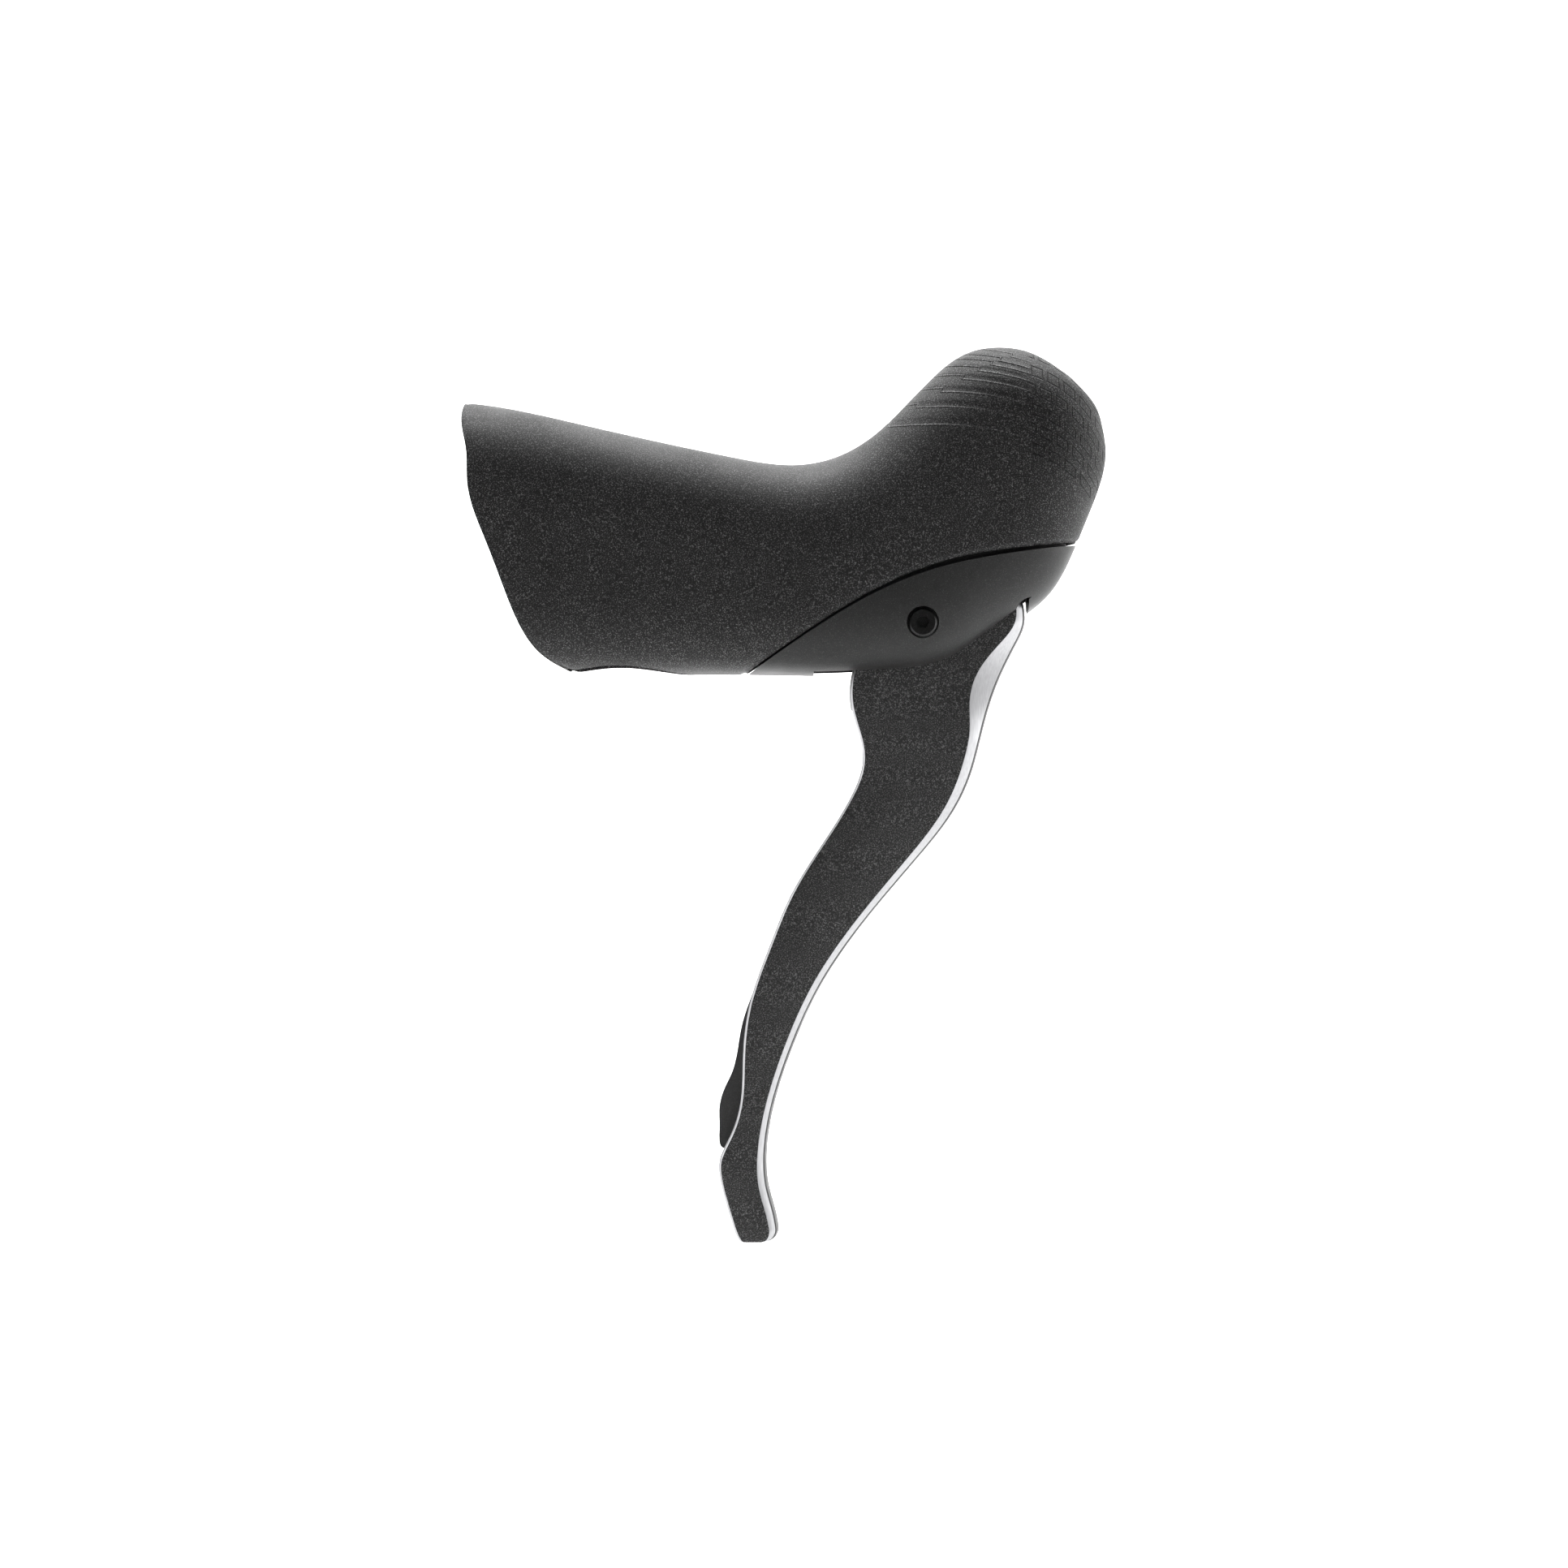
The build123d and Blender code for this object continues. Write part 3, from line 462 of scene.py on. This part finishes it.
def row_height(x, z):
    """The height at which the ridge line through (x, z) starts, since the lines droop towards the nose."""
    past = np.clip(x - ROW_START_X, 0, None)
    return z + ROW_DROP * past ** 2 + ROW_FALL * (past / ROW_REACH) ** ROW_POWER


def grip_relief(x, z):
    """How far the knob's ridges stand out, in mm."""
    start = row_height(x, z)
    row = np.interp(start, RIDGES[::-1], range(len(RIDGES) - 1, -1, -1))
    part = row - np.floor(row)
    ridge = np.where(part < 0.86, part / 0.86, (1 - part) / 0.14) - 0.35
    ends_x = 82.5 - 0.9 * row
    shown = soft_step(row, 0.4, 0.9) * (1 - soft_step(row, 6.85, 7.0))
    shown = shown * (1 - soft_step(x, ends_x - 4, ends_x))
    return RIDGE_HEIGHT * ridge * shown


def grip_rows(inset, coarse, fine):
    """Rows of points round the grip from its rear to its nose, each starting at the bottom."""
    table = np.asarray(GRIP)
    middles = (table[:, 0:2] + table[:, 2:4]) / 2
    along = np.concatenate([[0], np.cumsum(np.hypot(*np.diff(middles, axis=0).T) + 1.2)])
    knob = along[KNOB_START]
    at = np.concatenate([np.arange(0, knob, coarse), np.arange(knob, along[-1], fine), along[-1:]])
    columns = [natural_spline(along, table[:, k], at) for k in range(table.shape[1])]
    angles = np.linspace(-pi / 2, 1.5 * pi, 1441)
    rows = []
    for tx, tz, bx, bz, half, square_top, square_bottom in zip(*columns):
        reach = max(np.hypot(tx - bx, tz - bz) / 2 - inset, 0.4)
        rise = np.array([tx - bx, tz - bz]) / np.hypot(tx - bx, tz - bz)
        square = np.where(np.sin(angles) > 0, square_top, square_bottom)
        up = np.sign(np.sin(angles)) * np.abs(np.sin(angles)) ** (2 / square) * reach
        out = np.sign(np.cos(angles)) * np.abs(np.cos(angles)) ** (2 / square) * max(half - inset, 0.4)
        length = np.concatenate([[0], np.cumsum(np.hypot(np.diff(up), np.diff(out)))])
        even = np.linspace(0, length[-1], AROUND + 1)[:-1]
        up, out = np.interp(even, length, up), np.interp(even, length, out)
        rows.append(np.stack([(tx + bx) / 2 + rise[0] * up, out, (tz + bz) / 2 + rise[1] * up], axis=1))
    return np.asarray(rows)


def nose_rows(rows):
    """A shallow dome that closes the last row."""
    last, before = rows[-1], rows[-4]
    middle = last.mean(axis=0)
    ahead = middle - before.mean(axis=0)
    ahead /= np.linalg.norm(ahead)
    shares = (0.85, 0.65, 0.4, 0.15)
    return np.asarray([middle + (last - middle) * t + ahead * NOSE_BULGE * (1 - t * t) for t in shares])


def grid_normals(rows):
    along = np.gradient(rows, axis=0)
    around = (np.roll(rows, -1, axis=1) - np.roll(rows, 1, axis=1)) / 2
    normals = np.cross(around, along)
    return normals / np.maximum(np.linalg.norm(normals, axis=2, keepdims=True), 1e-9)


def seam_line():
    line = curve_through(SEAM, 400)
    middle = np.exp(-(((line[:, 0] - SEAM_BULGE_X) / SEAM_BULGE_LONG) ** 2))
    return line + np.stack([0 * middle, SEAM_SHIFT + SEAM_BULGE * middle], axis=1)


def make_hood(materials):
    outer = grip_rows(0, COARSE_STEP, FINE_STEP)
    normals = grid_normals(outer)
    if normals[len(outer) // 2, AROUND // 4, 1] < 0:
        normals = -normals
    x, z = outer[:, :, 0], outer[:, :, 2]
    rear, seam = curve_through(REAR_EDGE, 300), seam_line()
    relief = grip_relief(x, z) * soft_step(np.abs(normals[:, :, 1]), 0.12, 0.4)
    edge = np.minimum(distance_to_line(x, z, rear), distance_to_line(x, z, seam))
    into = np.clip(EDGE_ROUND - edge, 0, EDGE_ROUND)
    relief -= EDGE_ROUND - np.sqrt(EDGE_ROUND ** 2 - into ** 2)
    outer = outer + normals * relief[:, :, None]
    outer = np.concatenate([outer, nose_rows(outer)])
    inner = grip_rows(HOOD_WALL, 3.0, 2.5)[:-4]
    vertices = np.concatenate([outer.reshape(-1, 3), inner.reshape(-1, 3)])
    start = len(outer) * AROUND
    faces = ring_faces(len(outer), AROUND) + ring_faces(len(inner), AROUND, start, flip=True)
    faces += [(k, (k + 1) % AROUND, start + (k + 1) % AROUND, start + k)[::-1] for k in range(AROUND)]
    faces.append(tuple(range(start - AROUND, start)))
    faces.append(tuple(range(start + (len(inner) - 1) * AROUND, start + len(inner) * AROUND))[::-1])
    hood = mesh_object("grip_hood", vertices, faces)
    face_outwards(hood)
    behind = list(rear) + [(-OUTSIDE, rear[-1][1]), (-OUTSIDE, rear[0][1])]
    combine(hood, prism("behind", behind, -OUTSIDE, OUTSIDE), "DIFFERENCE")
    below = list(seam) + [(seam[-1][0], -OUTSIDE), (seam[0][0], -OUTSIDE)]
    combine(hood, prism("below", below, -OUTSIDE, OUTSIDE), "DIFFERENCE")
    up = np.array([-sin(radians(BAR_TILT)), 0, cos(radians(BAR_TILT))])
    combine(hood, tube("bar", up * -34, up, BAR_RELIEF, OUTSIDE), "DIFFERENCE")
    hood.data.materials.clear()
    hood.data.materials.append(materials["hood_rubber"])
    shade(hood, 40)
    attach(hood, "bracket")
    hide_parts("hood_cover")


# --- blade --------------------------------------------------------------------------------------------------
def by_height(table, z):
    """A value from a table of (height, value), smoothly between its rows."""
    table = np.asarray(table)[::-1]
    return natural_spline(table[:, 0], table[:, 1], z)


def blade_shape(z):
    front, back = by_height(BLADE_FRONT, z), by_height(BLADE_BACK, z)
    bevel, half = by_height(BEVEL_WIDTH, z), by_height(HALF_WIDTH, z)
    foot = np.clip(BLADE_FOOT - z, 0, None)
    radius = BLADE_FOOT - BLADE_END
    rounding = radius - np.sqrt(np.clip(radius ** 2 - foot ** 2, 0, None))
    return front - rounding, back + 0.25 * rounding, bevel * (1 - 0.75 * rounding / radius), half


def rounded(corners):
    """Side points, with each corner that has a radius turned into three points."""
    points = []
    for k, (x, y, radius, tag) in enumerate(corners):
        if radius == 0 or k in (0, len(corners) - 1):
            points.append((x, y, tag))
            continue
        here = np.array((x, y))
        before, after = np.array(corners[k - 1][:2]), np.array(corners[k + 1][:2])
        first = here + (before - here) / np.linalg.norm(before - here) * radius
        last = here + (after - here) / np.linalg.norm(after - here) * radius
        middle = 0.25 * first + 0.5 * here + 0.25 * last
        points += [(*first, corners[k - 1][3]), (*middle, tag), (*last, tag)]
    return points


def blade_section(front, back, bevel, half):
    """One side of a section from the front's middle to the back's middle, with each stretch's material."""
    depth = min(bevel, BEVEL_DEPTH)
    edge = half - depth
    lip = front - LIP
    corners = [
        (front, 0, 0, 2), (front - 0.3 * FRONT_CROWN, 0.5 * edge, 0, 2), (lip + 0.25, edge - 0.25, 0.1, 2),
        (lip, edge, CORNER_R, 1), (lip - bevel, half, CORNER_R, 0), (back + BACK_CHAMFER, half, CORNER_R, 1),
        (back, half - BACK_CHAMFER, CORNER_R, 0), (back, 0, 0, 0),
    ]
    return rounded(corners)


def blade_solid(materials):
    heights = np.append(np.arange(BLADE_TOP, BLADE_FOOT, -BLADE_STEP), np.linspace(BLADE_FOOT, BLADE_END, 10))
    rows, tags = [], []
    for z, front, back, bevel, half in zip(heights, *blade_shape(heights)):
        side = blade_section(front, back, bevel, half)
        other = [(x, -y, tag) for x, y, tag in side[1:-1]][::-1]
        rows.append([(x, y, z) for x, y, _ in side + other])
        tags = [tag for _, _, tag in side[:-1]] + [side[k][2] for k in range(len(side) - 2, -1, -1)]
    around = len(rows[0])
    faces = ring_faces(len(rows), around)
    last = (len(rows) - 1) * around
    faces += [tuple(range(around))[::-1], tuple(range(last, last + around))]
    blade = mesh_object("lever_blade", np.asarray(rows).reshape(-1, 3), faces)
    for name in ("lever_paint", "lever_bevel", "lever_lip"):
        blade.data.materials.append(materials[name])
    for face in blade.data.polygons:
        if face.index < (len(rows) - 1) * around:
            face.material_index = tags[face.index % around]
    face_outwards(blade)
    return blade


def channel_solid(name, near, low, high):
    heights = np.append(np.arange(CHANNEL_TOP, CHANNEL_END, -1.0), CHANNEL_END)
    front, back, bevel, half = blade_shape(heights)
    floor = np.maximum(front - np.maximum(FRONT_WALL, bevel + 2.2), back + 1.0)
    rows = []
    for z, x, rear, wide in zip(heights, near(floor, back), back - 9, half):
        rows.append([(x, low(wide), z), (x, high(wide), z), (rear, high(wide), z), (rear, low(wide), z)])
    faces = ring_faces(len(rows), 4) + [(0, 1, 2, 3), tuple(range(len(rows) * 4 - 4, len(rows) * 4))]
    made = mesh_object(name, np.asarray(rows).reshape(-1, 3), faces)
    face_outwards(made)
    return made


def roller_place():
    tilt, swing = radians(BORE_TILT), radians(HALF_SWING)
    x = PIVOT[0] - ARM_LENGTH * (sin(tilt) * cos(swing) + cos(tilt) * sin(swing))
    z = PIVOT[1] + ARM_LENGTH * (cos(tilt) * cos(swing) - sin(tilt) * sin(swing))
    return x, z


def arm_outline():
    x, z = roller_place()
    reach = np.array([x - PIVOT[0], z - PIVOT[1]]) / ARM_LENGTH
    span = np.array([reach[1], -reach[0]])
    foot, tip = np.array(PIVOT), np.array((x, z))
    low, high = span * ARM_FOOT, span * ARM_TIP
    return [tuple(foot - low), tuple(foot + low), tuple(tip + high), tuple(tip - high)]


def make_blade(materials):
    blade = blade_solid(materials)
    tip = roller_place()
    across = (0, 1, 0)
    combine(blade, tube("hub", (PIVOT[0], 0, PIVOT[1]), across, HUB_R, 2 * HUB_HALF), "UNION")
    combine(blade, prism("arm", arm_outline(), -ARM_HALF, ARM_HALF), "UNION")
    combine(blade, tube("arm_tip", (tip[0], 0, tip[1]), across, ARM_TIP, 2 * ARM_HALF, 48), "UNION")
    hollow = channel_solid("hollow", lambda floor, back: floor,
                           lambda half: WALL - half, lambda half: half - WALL)
    combine(blade, hollow, "DIFFERENCE")
    mouth = channel_solid("mouth", lambda floor, back: np.maximum(floor - MOUTH_LIP, back + 0.6),
                          lambda half: 0, lambda half: half + 3)
    combine(blade, mouth, "DIFFERENCE")
    combine(blade, prism("web", PIN_WEB, -6.6, 4.6), "UNION")
    combine(blade, tube("bush_bore", (PIVOT[0], 0, PIVOT[1]), across, BUSH_R, 40), "DIFFERENCE")
    combine(blade, tube("spring_room", (PIVOT[0], 0, PIVOT[1]), across, 5.5, 5.8), "DIFFERENCE")
    combine(blade, tube("roller_room", (tip[0], 0, tip[1]), across, 3.7, 5.4, 64), "DIFFERENCE")
    combine(blade, tube("roller_hole", (tip[0], 0, tip[1]), across, 1.02, 20, 32), "DIFFERENCE")
    combine(blade, tube("screw_hole", (70.0, 0, -8.8), (0, 0, 1), 2.01, 14, 48), "DIFFERENCE")
    combine(blade, tube("pin_hole", (58.0, *PADDLE_PIN), (1, 0, 0), 1.01, 18, 32), "DIFFERENCE")
    shade(blade, 24)
    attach(blade, "brake_lever")
    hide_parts("brake_lever")


# --- stage --------------------------------------------------------------------------------------------------
VIEW_CENTRE = (0.0363, -0.0394)
VIEW_DISTANCE = 1.035
LENS = 135.0


def make_camera():
    data = bpy.data.cameras.new("camera")
    data.lens = LENS
    data.sensor_width = 36.0
    data.clip_start, data.clip_end = 0.01, 20.0
    camera = bpy.data.objects.new("camera", data)
    camera.location = (VIEW_CENTRE[0], -VIEW_DISTANCE, VIEW_CENTRE[1])
    camera.rotation_euler = (pi / 2, 0, 0)
    bpy.context.scene.collection.objects.link(camera)
    bpy.context.scene.camera = camera


def area_light(name, place, target, size, power):
    data = bpy.data.lights.new(name, "AREA")
    data.shape = "RECTANGLE"
    data.size, data.size_y = size
    data.energy = power
    light = bpy.data.objects.new(name, data)
    light.location = place
    aim = np.asarray(target) - np.asarray(place)
    light.rotation_euler = Vector(aim).to_track_quat("-Z", "Y").to_euler()
    bpy.context.scene.collection.objects.link(light)


def make_stage():
    low = cad_box[0][2] - 0.05
    depth, rise, radius = 1.2, 2.2, 0.5
    profile = [(-3.0, low)]
    for k in range(13):
        angle = pi / 2 * k / 12
        profile.append((depth - radius + radius * sin(angle), low + radius - radius * cos(angle)))
    profile.append((depth, low + rise))
    vertices = [(x * 1000, y * 1000, z * 1000) for x in (-3.0, 3.0) for y, z in profile]
    count = len(profile)
    faces = [(k, k + 1, count + k + 1, count + k) for k in range(count - 1)]
    sweep = mesh_object("studio_sweep", vertices, faces)
    shade(sweep, 60)
    paper = Nodes("studio_paper")
    tone = paper.ramp(paper.noise(60.0), [(0.3, 0.86), (0.7, 0.88)])
    rough = paper.ramp(paper.noise(20.0), [(0.3, 0.85), (0.7, 0.95)])
    sweep.data.materials.append(paper.finish(tone, rough, paper.bump(paper.noise(0.6), 0.01)))
    world = bpy.data.worlds.new("studio")
    world.use_nodes = True
    world.node_tree.nodes["Background"].inputs["Color"].default_value = (1, 1, 1, 1)
    world.node_tree.nodes["Background"].inputs["Strength"].default_value = 0.1
    bpy.context.scene.world = world
    bpy.context.scene.view_settings.view_transform = "Standard"
    middle = (VIEW_CENTRE[0], 0, VIEW_CENTRE[1])
    area_light("backdrop", (0, 0.35, 0.9), (0, 1.2, 0.1), (2.0, 0.5), 38)
    area_light("floor", (0, 0.6, 1.1), (0, 0.6, low), (1.6, 0.6), 16)
    area_light("top", (-0.05, 0.05, 0.6), middle, (0.4, 0.2), 2.2)
    area_light("left", (-0.6, -0.1, 0.1), middle, (0.3, 0.5), 1.5)
    area_light("right", (0.6, -0.15, 0.0), middle, (0.8, 0.6), 0.9)
    area_light("rim", (0.55, 0.1, 0.05), middle, (0.3, 0.6), 1.3)


materials = make_materials()
paint_nodes(materials)
make_camera()
make_hood(materials)
make_blade(materials)
make_stage()
